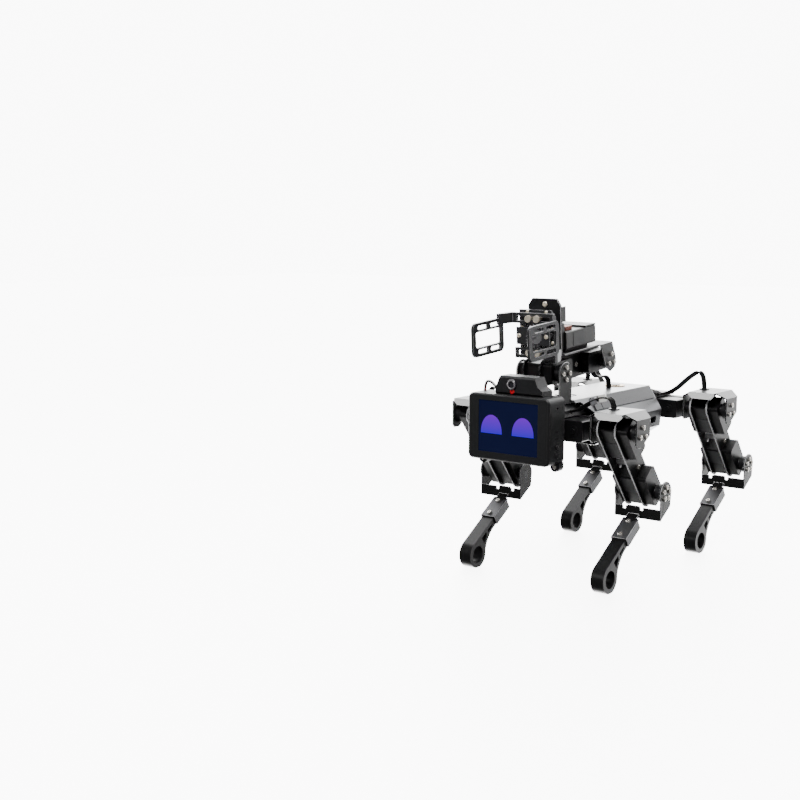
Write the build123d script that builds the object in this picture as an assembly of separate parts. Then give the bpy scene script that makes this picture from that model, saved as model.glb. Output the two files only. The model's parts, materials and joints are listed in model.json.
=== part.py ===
"""Desktop quadruped robot dog with a screen face and a folded two-link gripper arm.

Twelve leg servos (hip roll, hip pitch, knee), two arm servos and a gripper servo are carried by
black sheet-metal brackets on a light aluminium body. X points forward, Y to the robot's left, Z up.
The shapes are drawn about the midpoint between the hips and shifted on export, so that the origin
is on the floor under the centre of the overall box.
"""
from build123d import *
import math
import os

# ---------------------------------------------------------------- driving dimensions (mm)
HIP_X = 61.0            # hip pitch axes, in front of and behind the middle of the body
LEG_Y = 47.0            # plane of each foot, from the middle of the body
HIP_Z = 95.0            # height of the hip pitch axes
KNEE_DX, KNEE_DZ = -32.0, -40.0     # knee axis from the hip pitch axis
FOOT_DX, FOOT_DZ = 41.0, -46.7      # foot ring centre from the knee axis
FOOT_FLAT = 0.2         # how much of the foot ring's lowest edge is cut flat
FOOT_R = HIP_Z + KNEE_DZ + FOOT_DZ + FOOT_FLAT      # outer radius of the foot ring
FOOT_HOLE_R = 5.4
FOOT_HALF = 4.25        # half width of a foot
ROLL_DY, ROLL_Z = -22.0, 94.0       # hip roll axis, inboard of the leg plane, and its height
SHEET = 1.0             # sheet-metal thickness
LINK = math.hypot(KNEE_DX, KNEE_DZ)             # distance between the two axes of a servo link
THIGH_TILT = math.degrees(math.atan2(-KNEE_DX, -KNEE_DZ))
RUN = 0.05              # radial running clearance of every pivot

# micro servo: the output axis is SERVO_NEAR from one end of the case
SERVO_NEAR, SERVO_FAR, SERVO_HALF = 6.0, 17.2, 6.05
SERVO_BACK, SERVO_GEAR, SERVO_TOP = -10.3, 5.6, 12.0   # back face, gear housing's foot and top
GEAR_HALF = 6.5         # the gear housing stands out a little all round
SHAFT_R = 2.4
IDLER_R = 1.5
YOKE_IN, YOKE_OUT = -12.0, 17.0     # inner faces of a yoke's two ears, from the link plane
PLATE_IN, PLATE_OUT = -7.0, 4.5     # inboard faces of a link's two side plates
PLATE_END, PLATE_HALF, PLATE_CORNER = 9.2, 8.2, 6.3  # side plate past its axes, half width, corners
SCREW_R, SCREW_H = 1.5, 1.2         # small pan-head screw
EAR_SCREWS = 3.7        # radius of the screw circle on a horn
KNEE_SCREWS, BASE_SCREWS = 5, 4     # screws of a knee horn and of the shoulder horn

# body
SHELL_REAR, SHELL_FRONT = -41.0, 34.0
PANEL_FRONT = 56.0      # the top of the shell reaches further forward than its sides
TOP_Z, BELLY_Z = 110.0, 80.0
SHELL_WALL = 1.6
SPINE_HALF = 7.1        # the frames run between the hip servos
DECK_Z, DECK_HALF = 100.7, 17.0     # underside and half width of the frames' decks, over the servos

# head
HEAD_BACK, HEAD_FRONT = 86.3, 103.3
HEAD_HALF, HEAD_LOW, HEAD_TOP = 28.0, 77.0, 116.2
SCREEN_W, SCREEN_H, SCREEN_Z = 40.8, 30.6, 97.2

# arm
SHOULDER_X, SHOULDER_Z = 63.8, 126.5
ARM_Y = -3.0            # plane of the upper arm
ARM_LINK = 54.6         # distance between the upper arm's axes
ARM_TILT = 94.4         # the upper arm lies folded back, 4.4 degrees above level
ELBOW_X = SHOULDER_X - ARM_LINK * math.sin(math.radians(ARM_TILT))
ELBOW_Z = SHOULDER_Z - ARM_LINK * math.cos(math.radians(ARM_TILT))
FOREARM_TILT = 4.5      # the forearm's front end droops; it is drawn level and then turned
TRAY_Z = ELBOW_Z + 11.5             # top of the forearm tray, drawn level
GRIP_Z = ELBOW_Z + 23.5             # gripper pinion axis
MODULE, TEETH = 0.8, 16
PITCH_R = MODULE * TEETH / 2
RACK_X, RACK_T = ELBOW_X + 63.0, 2.4    # back face and thickness of the pinion and racks
PIN_Y, PIN_R = (-3.2, 2.6), 1.35    # guide screws that the racks slide along
FRAME_X = RACK_X - 11.0 # rear face of the gripper's black frame
CASE_REAR = FRAME_X - 39.0
ARM_TRAY = (-9.0, 13.5) # the forearm tray's two sides
JAW_HALF = 18.4         # half gap between the open fingers
PAD_REAR, PAD_FRONT = RACK_X + 6.5, RACK_X + 38.3
PAD_LOW, PAD_HIGH = GRIP_Z - 9.0, GRIP_Z + 11.0
PAD_T, PAD_CORNER = 1.6, 3.5

# the overall box runs from the rear knees to the fingertips, whose lower corners reach furthest
KNEE_EAR_R = 7.2
REAR_REACH = (PLATE_CORNER + (PLATE_END - PLATE_CORNER) * math.sin(math.radians(THIGH_TILT))
              + (PLATE_HALF - PLATE_CORNER) * math.cos(math.radians(THIGH_TILT)))
REAR_END = -HIP_X + KNEE_DX - REAR_REACH
TIP_X = ELBOW_X + ((PAD_FRONT - ELBOW_X) * math.cos(math.radians(FOREARM_TILT))
                   + (PAD_HIGH - PAD_CORNER - ELBOW_Z) * math.sin(math.radians(FOREARM_TILT)))
ORIGIN_X = (REAR_END + TIP_X) / 2

LEGS = {
    "front_left": (HIP_X, 1), "front_right": (HIP_X, -1),
    "rear_left": (-HIP_X, 1), "rear_right": (-HIP_X, -1),
}


# ---------------------------------------------------------------- helpers
def block(x0, x1, y0, y1, z0, z1):
    """A box given by its limits."""
    return Pos((x0 + x1) / 2, (y0 + y1) / 2, (z0 + z1) / 2) * Box(x1 - x0, y1 - y0, z1 - z0)


def rod(start, end, radius):
    """A cylinder between two points."""
    a, b = Vector(*start), Vector(*end)
    plane = Plane(origin=a, z_dir=b - a)
    return extrude(plane * Circle(radius), (b - a).length)


def side_plate(points, y0, y1):
    """A plate with the side outline points (x, z), from y0 to y1."""
    outline = Polyline(*[(x, y0, z) for x, z in points], close=True)
    return extrude(make_face(outline), amount=y1 - y0, dir=(0, 1, 0))


def front_plate(points, x0, x1):
    """A plate with the front outline points (y, z), from x0 to x1."""
    outline = Polyline(*[(x0, y, z) for y, z in points], close=True)
    return extrude(make_face(outline), amount=x1 - x0, dir=(1, 0, 0))


def turned_disc(radius, width):
    """A disc about the Y axis."""
    return Rot(90, 0, 0) * Cylinder(radius, width)


def mirrored(shape, side):
    """The shape, or for a right-hand side its mirror image."""
    return shape if side > 0 else mirror(shape, about=Plane.XZ)


def group(shapes):
    """Separate solids that share one node."""
    return Compound(children=[s for shape in shapes for s in shape.solids()])


def export(shape, name):
    """Writes one node, shifted so that the origin is under the middle of the overall box."""
    export_step(Pos(-ORIGIN_X, 0, 0) * shape, f"parts/{name}.step")


def round_edges(shape, axis, radius):
    """Fillets every straight edge that runs along an axis."""
    return fillet(shape.edges().filter_by(axis), radius)


# ---------------------------------------------------------------- servo, horns and screws
def servo():
    """A servo about its output axis: output along +Y, long side along -Z, link plane at y = 0."""
    case = block(-SERVO_HALF, SERVO_HALF, SERVO_BACK, SERVO_GEAR, -SERVO_FAR, SERVO_NEAR)
    case = chamfer(case.edges().filter_by(Axis.Y), 0.5)
    gears = block(-GEAR_HALF, GEAR_HALF, SERVO_GEAR, SERVO_TOP, -SERVO_FAR - 0.5, SERVO_NEAR + 0.5)
    gears = round_edges(gears, Axis.Y, 2.2)
    neck = rod((0, SERVO_TOP, 0), (0, SERVO_TOP + 1.2, 0), 4.2)
    pivot = rod((0, SERVO_BACK - 1.6, 0), (0, SERVO_BACK, 0), IDLER_R)
    boss = rod((0, SERVO_BACK - 0.4, 0), (0, SERVO_BACK, 0), 3.2)
    bore = rod((0, 8.0, 0), (0, SERVO_TOP + 2, 0), SHAFT_R + RUN)
    return case + gears + neck + pivot + boss - bore


def screw(point, direction, grip=SHEET, head_r=SCREW_R, head_h=SCREW_H):
    """A pan-head screw seated at a point, its shank running against direction through the sheet."""
    seat, out = Vector(*point), Vector(*direction)
    plane = Plane(origin=seat, z_dir=out)
    head = extrude(plane * Circle(head_r), head_h)
    head = chamfer(head.faces().sort_by(Axis((0, 0, 0), out))[-1].edges(), 0.35)
    shank = extrude(plane * Circle(0.8), -grip)
    socket = extrude(plane.offset(head_h - 0.6) * RegularPolygon(0.65, 6), 1)
    return head + shank - socket


def screw_circle(count):
    """Places of a horn's screws round its axis."""
    angles = [math.radians(90 + 360 * i / count) for i in range(count)]
    return [(EAR_SCREWS * math.cos(a), EAR_SCREWS * math.sin(a)) for a in angles]


def yoke_fittings(count=3):
    """Horn disc with its splined shaft, idler disc and screws of a yoke about a servo's axis."""
    shaft = rod((0, 8.3, 0), (0, SERVO_TOP + 1.6, 0), SHAFT_R)
    disc = rod((0, SERVO_TOP + 1.4, 0), (0, YOKE_OUT, 0), 5.4)
    idler = rod((0, YOKE_IN, 0), (0, SERVO_BACK - 0.6, 0), 4.0)
    idler += rod((0, YOKE_IN - SHEET, 0), (0, YOKE_IN, 0), 2.4)
    idler -= rod((0, YOKE_IN, 0), (0, SERVO_BACK, 0), IDLER_R + RUN)
    screws = [screw((x, YOKE_OUT + SHEET, z), (0, 1, 0)) for x, z in screw_circle(count)]
    return [shaft + disc, idler] + screws


def ear_holes(shape, count=3):
    """Cuts the holes that yoke_fittings uses out of a yoke's ears."""
    for x, z in screw_circle(count):
        shape -= rod((x, YOKE_OUT - 1, z), (x, YOKE_OUT + SHEET + 1, z), 0.85)
    return shape - rod((0, YOKE_IN - SHEET - 1, 0), (0, YOKE_IN + 1, 0), 2.4)


# ---------------------------------------------------------------- two-servo link (thighs, upper arm)
def link_plates(length=LINK):
    """Two side plates with rounded ends and windows for the servos, a spacer and the plate screws."""
    windows = [block(-SERVO_HALF - 0.1, SERVO_HALF + 0.1, -20, 20, -SERVO_FAR - 0.1, SERVO_NEAR + 0.1),
               block(-SERVO_HALF - 0.1, SERVO_HALF + 0.1, -20, 20,
                     -length - SERVO_NEAR - 0.1, -length + SERVO_FAR + 0.1)]
    plates = []
    for y in (PLATE_IN, PLATE_OUT):
        plate = block(-PLATE_HALF, PLATE_HALF, y, y + SHEET, -length - PLATE_END, PLATE_END)
        plate = round_edges(plate, Axis.Y, PLATE_CORNER)
        for window in windows:
            plate -= window
        for z in (-length / 2 - 4.6, -length / 2 + 4.6):
            plate -= rod((0, y - 1, z), (0, y + 2, z), 1.7 if y == PLATE_IN else 0.85)
        plates.append(plate)
    spacer = rod((0, PLATE_IN + SHEET, -length / 2), (0, PLATE_OUT, -length / 2), 2.5)
    plates.append(spacer)
    for z in (-length / 2 - 4.6, -length / 2 + 4.6):
        plates.append(screw((0, PLATE_OUT + SHEET, z), (0, 1, 0)))
    return plates


def link_servos(length=LINK):
    """The link's two servos: each output axis is at an end, and the cases point to the middle."""
    lower = Pos(0, 0, -length) * Rot(0, 180, 0) * servo()
    return [servo(), lower]


# ---------------------------------------------------------------- legs, about the hip pitch axis
def hip_bracket():
    """Folded sheet bracket over the thigh: top with a lip, two ears, and a flange for the roll horn."""
    top = 12.0
    outer = [(18, -8), (18, 8.5), (11.9, top), (-5.9, top), (-13, 8.5), (-13, -8)]
    inner = [(17, -9), (17, 7.9), (11.6, top - SHEET), (-5.6, top - SHEET), (-12, 7.9), (-12, -9)]
    fold = front_plate(outer, -18.3, 13.8) - front_plate(inner, -19, 15)
    outer_ear = side_plate([(11, 12.5), (7, 8), (7, -6.2), (5.2, -8), (1, -8), (-9, -1.8), (-9, 8),
                            (-15, 12.5)], 11.9, 19)
    inner_ear = side_plate([(11, 12.5), (7, 8), (7, -6), (5, -7.5), (-18.3, -7.5), (-18.3, 5.5),
                            (-15, 9), (-15, 12.5)], -14, -5.9)
    crown = block(-15, 13.8, -5.9, 11.9, 10, 13)
    sheet = (fold & outer_ear) + (fold & inner_ear) + (fold & crown)
    lip = front_plate([(-5.9, top), (11.9, top), (11.9, top - 2), (9.6, top - 4.2), (-3.6, top - 4.2),
                       (-5.9, top - 2)], 12.8, 13.8)
    roll_z = ROLL_Z - HIP_Z
    flange = block(-18.3, -17.3, ROLL_DY, -12, roll_z - 6.5, roll_z + 6.5)
    flange += rod((-18.3, ROLL_DY, roll_z), (-17.3, ROLL_DY, roll_z), 6.5)
    sheet += lip + flange
    sheet -= rod((GROMMET_X, GROMMET_Y, 5), (GROMMET_X, GROMMET_Y, 14), 2.4)
    for y, z in screw_circle(3):
        sheet -= rod((-20, ROLL_DY + y, roll_z + z), (-16, ROLL_DY + y, roll_z + z), 0.85)
    return ear_holes(sheet)


def grommet():
    """Rubber cup in the top of the hip bracket that the servo cable ends in."""
    seat, floor = 12.0, GROMMET_FLOOR - 0.6
    cup = rod((GROMMET_X, GROMMET_Y, floor), (GROMMET_X, GROMMET_Y, seat + 0.6), 2.35)
    cup += rod((GROMMET_X, GROMMET_Y, seat), (GROMMET_X, GROMMET_Y, seat + 0.6), 3.2)
    return cup - rod((GROMMET_X, GROMMET_Y, GROMMET_FLOOR), (GROMMET_X, GROMMET_Y, 14), CABLE_R + RUN)


def hip_fittings():
    """Roll horn, pitch horn, idler, screws and the cable grommet that turn with a hip bracket."""
    roll_z = ROLL_Z - HIP_Z
    shaft = rod((-8.6, ROLL_DY, roll_z), (-13.9, ROLL_DY, roll_z), SHAFT_R)
    disc = rod((-13.7, ROLL_DY, roll_z), (-17.3, ROLL_DY, roll_z), 5.4)
    parts = [shaft + disc, grommet()]
    for y, z in screw_circle(3):
        parts.append(screw((-18.3, ROLL_DY + y, roll_z + z), (-1, 0, 0)))
    return parts + yoke_fittings()


def roll_servo():
    """Hip roll servo: output to the rear, long side towards the middle of the body."""
    place = Plane(origin=(-0.3, ROLL_DY, ROLL_Z - HIP_Z), x_dir=(0, 0, -1), z_dir=(0, 1, 0))
    return place.location * servo()


SHANK_TILT = 32.0       # the shank's front face, below level
SHANK_RUN = 35.0        # how far the foot ring is in front of the knee bracket's plate
CHANNEL = (4.0, 22.0)   # start and end of the sheet channel along the shank
CHANNEL_HALF, CHANNEL_DEPTH = 4.75 + SHEET / 2, 6.4


def shank_origin():
    """Start of the shank's front face: that face runs one sheet in front of the foot ring."""
    tilt = math.radians(SHANK_TILT)
    drop = (SHEET + FOOT_R + SHANK_RUN * math.sin(tilt)) / math.cos(tilt)
    return FOOT_DX - SHANK_RUN, FOOT_DZ + drop


def shank(shape):
    """Places a shape drawn along +X (down the shank) with its front face at z = 0."""
    x, z = shank_origin()
    return Pos(x, 0, z) * Rot(0, SHANK_TILT, 0) * shape


def shank_bracket():
    """One folded sheet: the knee yoke, its neck, and the channel that holds the foot."""
    web = front_plate([(-13, -16.2), (18, -16.2), (18, -9.4), (-13, -9.4)], 5.1, 6.1)
    web += block(5.1, 6.1, -4.6, 3.6, -10, -8.8)
    for y in (PLATE_IN, PLATE_OUT):
        web -= block(5, 7, y - 0.5, y + SHEET + 0.5, -11.3, -8)
    ear = [(6.1, -16.2), (6.1, 3.8), (0, 6.5), (-KNEE_EAR_R, 0), (-6.2, -8.7)]
    sheet = web
    for y in (YOKE_IN - SHEET, YOKE_OUT):
        sheet += side_plate(ear, y, y + SHEET) + rod((0, y, 0), (0, y + SHEET, 0), KNEE_EAR_R)
    neck = block(-1.6, CHANNEL[0] + 1, -3.6, 3.6, -SHEET, 0)
    face = block(CHANNEL[0], CHANNEL[1], -CHANNEL_HALF, CHANNEL_HALF, -SHEET, 0)
    channel = neck + face
    for side in (-1, 1):
        y = side * (CHANNEL_HALF - SHEET / 2)
        channel += block(CHANNEL[0] + 1, CHANNEL[1], y - SHEET / 2, y + SHEET / 2, -CHANNEL_DEPTH, 0)
    for s in shank_screws():
        channel -= rod((s, 0, -2), (s, 0, 1), 0.85)
    return ear_holes(sheet + shank(channel), KNEE_SCREWS)


def shank_screws():
    """Places of the two screws along the channel."""
    return (7.4, 18.9)


def knee_fittings():
    """Horn, idler and screws of the knee yoke, and the two screws that hold the foot."""
    screws = [shank(screw((s, 0, 0), (0, 0, 1))) for s in shank_screws()]
    return yoke_fittings(KNEE_SCREWS) + screws


def foot():
    """Moulded foot: a bar inside the channel that runs into a ring, with two small windows."""
    tilt = math.radians(SHANK_TILT)
    drop = shank_origin()[1] - FOOT_DZ
    ring_s = SHANK_RUN * math.cos(tilt) + drop * math.sin(tilt)
    ring_h = -SHEET - FOOT_R
    front, back = ring_h + FOOT_R, -CHANNEL_DEPTH
    join_s, join_h = ring_s - FOOT_R * 0.62, ring_h - FOOT_R * 0.785
    outline = [
        Line((CHANNEL[0] + 0.5, 0, front), (ring_s, 0, front)),
        Line((ring_s, 0, front), (ring_s, 0, ring_h)),
        Line((ring_s, 0, ring_h), (join_s, 0, join_h)),
        ThreePointArc((join_s, 0, join_h), (ring_s - 13, 0, back - 2.6), (CHANNEL[1] + 2, 0, back)),
        Line((CHANNEL[1] + 2, 0, back), (CHANNEL[0] + 0.5, 0, back)),
        Line((CHANNEL[0] + 0.5, 0, back), (CHANNEL[0] + 0.5, 0, front)),
    ]
    bar = extrude(make_face(Wire(outline)), amount=FOOT_HALF, dir=(0, 1, 0), both=True)
    body = bar + Pos(ring_s, 0, ring_h) * turned_disc(FOOT_R, 2 * FOOT_HALF)
    body -= Pos(ring_s, 0, ring_h) * turned_disc(FOOT_HOLE_R, 4 * FOOT_HALF)
    near = [(ring_s - 8.6, front - 2.4), (ring_s - 14.6, front - 2.4), (ring_s - 13.6, front - 5.2),
            (ring_s - 8.9, front - 7.6)]
    far = [(ring_s - 16.4, front - 2.4), (ring_s - 22.6, front - 2.4), (ring_s - 22.2, front - 3.6),
           (ring_s - 15.8, front - 4.4)]
    for window in (near, far):
        body -= side_plate(window, -10, 10)
    for s in shank_screws():
        body -= rod((s, 0, front + 1), (s, 0, front - 3), 0.85)
    floor = -(HIP_Z + KNEE_DZ)
    return shank(body) - block(0, 2 * FOOT_DX, -10, 10, floor - 5, floor)


def leg(name, hip_x, side):
    """Exports the moving nodes of one leg and returns its roll servo for the shared node."""
    at_hip = Pos(hip_x, LEG_Y, HIP_Z)
    at_thigh = at_hip * Rot(0, THIGH_TILT, 0)
    at_knee = at_hip * Pos(KNEE_DX, 0, KNEE_DZ)
    nodes = {
        "hip_bracket": at_hip * hip_bracket(),
        "hip_horns": at_hip * group(hip_fittings()),
        "thigh_plates": at_thigh * group(link_plates()),
        "thigh_servos": at_thigh * group(link_servos()),
        "shank_bracket": at_knee * shank_bracket(),
        "knee_horns": at_knee * group(knee_fittings()),
        "foot": at_knee * foot(),
    }
    for part, shape in nodes.items():
        export(mirrored(shape, side), f"{name}_{part}")
    return mirrored(at_hip * roll_servo(), side)


# ---------------------------------------------------------------- body
SIDE = [(16.2, TOP_Z), (25.6, 95.1), (24.5, 84.2), (18.5, BELLY_Z)]    # half section


def section(points):
    """A closed symmetric outline from its left half."""
    return points + [(-y, z) for y, z in reversed(points)]


def body_shell():
    """Thin-walled shell, open at both ends and underneath, with a long top and slots in its sides."""
    inner = [(15.2, TOP_Z - SHELL_WALL), (23.9, 94.9), (22.9, 85.2), (17.6, BELLY_Z)]
    shell = front_plate(section(SIDE), SHELL_REAR, PANEL_FRONT)
    shell -= front_plate(section(inner), SHELL_REAR - 1, PANEL_FRONT + 1)
    shell -= block(SHELL_REAR - 1, PANEL_FRONT + 1, -17.6, 17.6, BELLY_Z - 1, BELLY_Z + 3)
    nose = [(SHELL_FRONT, 70), (SHELL_FRONT, 96.7), (50, TOP_Z - SHELL_WALL), (70, TOP_Z - SHELL_WALL),
            (70, 70)]
    shell -= side_plate(nose, -40, 40)
    vent_x, gap = 38.5, 1.1
    for i in range(4):
        ring = rod((vent_x, 0, TOP_Z - 3), (vent_x, 0, TOP_Z + 1), 6.8)
        ring -= rod((vent_x, 0, TOP_Z - 3), (vent_x, 0, TOP_Z + 1), 4.2)
        sector = block(gap, 8, gap, 8, TOP_Z - 4, TOP_Z + 2)
        shell -= ring & (Pos(vent_x, 0, 0) * Rot(0, 0, 90 * i) * sector)
    shell -= rod((BUTTON_X, 0, TOP_Z - 3), (BUTTON_X, 0, TOP_Z + 1), 5.0)
    shell -= rod(ARM_CABLE[-1], (*ARM_CABLE[-1][:2], TOP_Z + 1), CABLE_R + RUN)
    for side in (-1, 1):
        for i in range(4):
            shell -= block(12 + 2.6 * i, 13.2 + 2.6 * i, *sorted((side * 20, side * 30)), 86.5, 93)
        shell -= block(-34, -25, *sorted((side * 20, side * 30)), 87, 91)
        shell -= block(-21, -13, *sorted((side * 20, side * 30)), 86.6, 91)
    return shell


BUTTON_X = -24.0
PANEL_T = 0.8


def side_panel():
    """Dark inlay panel lying on the left upper flank of the shell."""
    (y0, z0), (y1, z1) = SIDE[0], SIDE[1]
    slope = math.hypot(y1 - y0, z1 - z0)
    along = ((y1 - y0) / slope, (z1 - z0) / slope)
    start, width = 0.7, 8.8

    def point(s, h):
        return y0 + along[0] * s - along[1] * h, z0 + along[1] * s + along[0] * h

    panel = front_plate([point(start, 0), point(start + width, 0), point(start + width, PANEL_T),
                         point(start, PANEL_T)], SHELL_REAR + 2, 38)
    tail = side_plate([(-50, 90), (-50, 112), (SHELL_REAR + 1.6, 107.4), (SHELL_REAR + 4, 98)], 0, 40)
    return panel - tail - block(29.4, 29.9, 0, 40, 90, 112)


def frame_spine(front):
    """Narrow box between the two roll servos of a pair, and the deck that covers them."""
    near, far = (SHELL_FRONT, HEAD_BACK) if front else (-SHELL_REAR, 80.0)
    spine = block(near, far, -SPINE_HALF, SPINE_HALF, 84, DECK_Z)
    deck_end = 74.0 if front else 78.0
    low = TOP_Z - SHELL_WALL
    if front:
        deck = front_plate([(-DECK_HALF, DECK_Z), (DECK_HALF, DECK_Z), (DECK_HALF - 1, low - 4),
                            (DECK_HALF - 4, low), (4 - DECK_HALF, low), (1 - DECK_HALF, low - 4)],
                           near, deck_end)
    else:
        deck = side_plate([(near, DECK_Z), (near, 108), (near + 12, 105.5), (near + 19, 103.2),
                           (deck_end, 102.2), (deck_end, DECK_Z)], -DECK_HALF + 1, DECK_HALF - 1)
    cap = front_plate(section([(12, low - 0.2), (15, 106), (23.3, 94.8), (22.5, 85.6), (17.4, 83)]),
                      near - 2, near)
    shape = spine + deck + cap
    return shape if front else mirror(shape, about=Plane.YZ)


def front_frame():
    """Black front frame: carries the front roll servos, the arm base and the head."""
    cavity = block(SHELL_FRONT + 8, HEAD_BACK - 6, -SPINE_HALF + 2, SPINE_HALF - 2, 86, 98)
    neck = block(SHELL_FRONT - 0.1, SHELL_FRONT + 6, -15, 15, 84, DECK_Z)
    return cable_ports(frame_spine(True) + neck - cavity, FRONT_CABLE)


def rear_frame():
    """Black rear frame with the sloping tail cover over the rear roll servos."""
    cavity = block(-74, SHELL_REAR - 6, -SPINE_HALF + 2, SPINE_HALF - 2, 86, 98)
    return cable_ports(frame_spine(False) - cavity, REAR_CABLE)


def bottom_cover():
    """Plate that closes the shell underneath."""
    plate = block(SHELL_REAR + 0.5, SHELL_FRONT - 0.5, -17.5, 17.5, BELLY_Z, BELLY_Z + 1.6)
    plate = round_edges(plate, Axis.Z, 3)
    for x, y in belly_screws():
        plate -= rod((x, y, BELLY_Z - 1), (x, y, BELLY_Z + 3), 0.85)
    return plate


def belly_screws():
    """Places of the four bottom cover screws."""
    return [(x, y) for x in (SHELL_REAR + 6, SHELL_FRONT - 6) for y in (-13.5, 13.5)]


def battery():
    """Two-cell pack on the bottom cover."""
    pack = block(-36, 24, -15, 15, BELLY_Z + 2, BELLY_Z + 15)
    return round_edges(pack, Axis.X, 3)


def control_board():
    """Servo control board with a processor module, a connector row and four standoffs."""
    board = block(-34, 28, -16.5, 16.5, 99, 100.6)
    board += block(-12, 16, -11, 11, 100.6, 102.6)
    for i in range(6):
        board += block(-31 + 5 * i, -28 + 5 * i, 12, 15.5, 100.6, 104)
    for x in (-31, 25):
        for y in (-13, 13):
            board += rod((x, y, BELLY_Z + 15), (x, y, 99), 1.6)
    return board


def body_screws():
    """Screws of the bottom cover."""
    return [screw((x, y, BELLY_Z - 0.02), (0, 0, -1), 1.5) for x, y in belly_screws()]


# ---------------------------------------------------------------- head
def head_housing():
    """Screen housing: a rounded box with a bezel, two lugs and openings for the two keys."""
    box = block(HEAD_BACK, HEAD_FRONT, -HEAD_HALF, HEAD_HALF, HEAD_LOW, HEAD_TOP)
    box = round_edges(box, Axis.X, 3.2)
    box = chamfer(box.faces().sort_by(Axis.X)[-1].edges(), 0.8)
    box -= block(HEAD_BACK + 2, HEAD_FRONT - 2.2, -25.8, 25.8, HEAD_LOW + 2.2, HEAD_TOP - 2.2)
    box -= block(HEAD_FRONT - 3, HEAD_FRONT + 1, -SCREEN_W / 2, SCREEN_W / 2,
                 SCREEN_Z - SCREEN_H / 2, SCREEN_Z + SCREEN_H / 2)
    for side in (-1, 1):
        lug = block(HEAD_BACK, HEAD_BACK + 5, side * 25 - 3, side * 25 + 3, 75.5, HEAD_LOW + 1)
        lug += rod((HEAD_BACK, side * 25, 75.5), (HEAD_BACK + 5, side * 25, 75.5), 3)
        box += lug - rod((HEAD_BACK - 1, side * 25, 75.5), (HEAD_BACK + 6, side * 25, 75.5), 0.85)
    box -= rod(CAMERA_CABLE[-1], (*CAMERA_CABLE[-1][:2], HEAD_TOP + 1), CABLE_R + RUN)
    for z in KEY_Z:
        box -= block(KEY_X - 1.5, KEY_X + 1.5, HEAD_HALF - 4, HEAD_HALF + 1, z - 1.5, z + 1.5)
    box -= rod((KEY_X, HEAD_HALF - 4, 110), (KEY_X, HEAD_HALF + 1, 110), 0.8)
    return box


KEY_X = 94.0
KEY_Z = (82.5, 87.5)
KEY_TRAVEL = 0.5


def head_key(z):
    """Small square key in the left side of the head."""
    cap = block(KEY_X - 1.35, KEY_X + 1.35, HEAD_HALF - 2.4, HEAD_HALF + 0.7, z - 1.35, z + 1.35)
    return chamfer(cap.faces().sort_by(Axis.Y)[-1].edges(), 0.3)


def screen():
    """Glass of the screen, seated in the bezel."""
    glass = block(HEAD_FRONT - 2.2, HEAD_FRONT - 0.3, -SCREEN_W / 2, SCREEN_W / 2,
                  SCREEN_Z - SCREEN_H / 2, SCREEN_Z + SCREEN_H / 2)
    return glass


LENS_Y, LENS_Z = 0.0, 122.2
CAMERA_FRONT = 99.0


def camera_cover():
    """Cover of the head camera, on top of the housing."""
    hump = front_plate([(-12, HEAD_TOP), (-11, 121), (-8.6, 127), (15, 127), (17.4, 121.5),
                        (20.5, 119.5), (20.5, HEAD_TOP)], 88, CAMERA_FRONT)
    hump = chamfer(hump.faces().sort_by(Axis.X)[-1].edges().filter_by(Axis.Y), 1.2)
    hump -= rod(CAMERA_CABLE[0], CAMERA_CABLE[1], CABLE_R + RUN)
    return hump - rod((CAMERA_FRONT - 4, LENS_Y, LENS_Z), (CAMERA_FRONT + 1, LENS_Y, LENS_Z), 3.3)


def camera_lens():
    """Lens barrel with a domed front."""
    barrel = rod((CAMERA_FRONT - 4, LENS_Y, LENS_Z), (CAMERA_FRONT + 1.0, LENS_Y, LENS_Z), 3.25)
    barrel = fillet(barrel.faces().sort_by(Axis.X)[-1].edges(), 0.6)
    return barrel - rod((CAMERA_FRONT + 0.2, LENS_Y, LENS_Z), (CAMERA_FRONT + 2, LENS_Y, LENS_Z), 1.9)


# ---------------------------------------------------------------- cables
CABLE_R = 1.2           # bundle of three servo wires
GROMMET_X, GROMMET_Y, GROMMET_FLOOR = -4.0, -3.0, 10.0  # in a hip bracket, from its pitch axis
REAR_PORT, FRONT_PORT = (-54.0, 13.0, 102.6), (59.0, 13.0, 103.2)   # blind ends in the two decks


def grommet_end(hip_x, above):
    """A point over the floor of a left hip bracket's grommet."""
    return hip_x + GROMMET_X, LEG_Y + GROMMET_Y, HIP_Z + GROMMET_FLOOR + above


REAR_CABLE = [REAR_PORT, (-54.4, 19.4, 102.8), (-57, 27, 106), (-60.6, 34, 114), (-64.2, 40.6, 119.5),
              grommet_end(-HIP_X, 9.5), grommet_end(-HIP_X, 0)]
FRONT_CABLE = [FRONT_PORT, (59.4, 19.4, 103.6), (58.6, 27.5, 109), (57.5, 36.5, 113.6),
               grommet_end(HIP_X, 8.2), grommet_end(HIP_X, 0)]
ARM_CABLE = [(7, 0, 127.5), (7, 0.2, 121.3), (1.4, 0.8, 117.6), (-5.6, 1.6, 118.6),
             (-10.6, 2.2, 116.2), (-11.2, 2.4, 111.2), (-11.2, 2.4, 102.6)]
CAMERA_CABLE = [(93, -9, 118.5), (93, -14.6, 118.7), (92.4, -19.4, 122.6), (91.5, -24.2, 121.4),
                (91.5, -24.2, 114.0)]


def cable(route):
    """A cable along a route: straight runs joined by the largest arcs that the runs allow."""
    points = [Vector(*point) for point in route]
    radii = []
    for before, at, after in zip(points, points[1:], points[2:]):
        turn = math.radians((at - before).get_angle(after - at))
        radii.append(0.45 * min((at - before).length, (after - at).length) / math.tan(turn / 2))
    path = FilletPolyline(*points, radius=radii)
    print("cable", round(path.length, 1), "mm, radii", [round(r, 1) for r in radii])
    section_plane = Plane(origin=points[0], z_dir=points[1] - points[0])
    return sweep(section_plane * Circle(CABLE_R), path=path)


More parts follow.
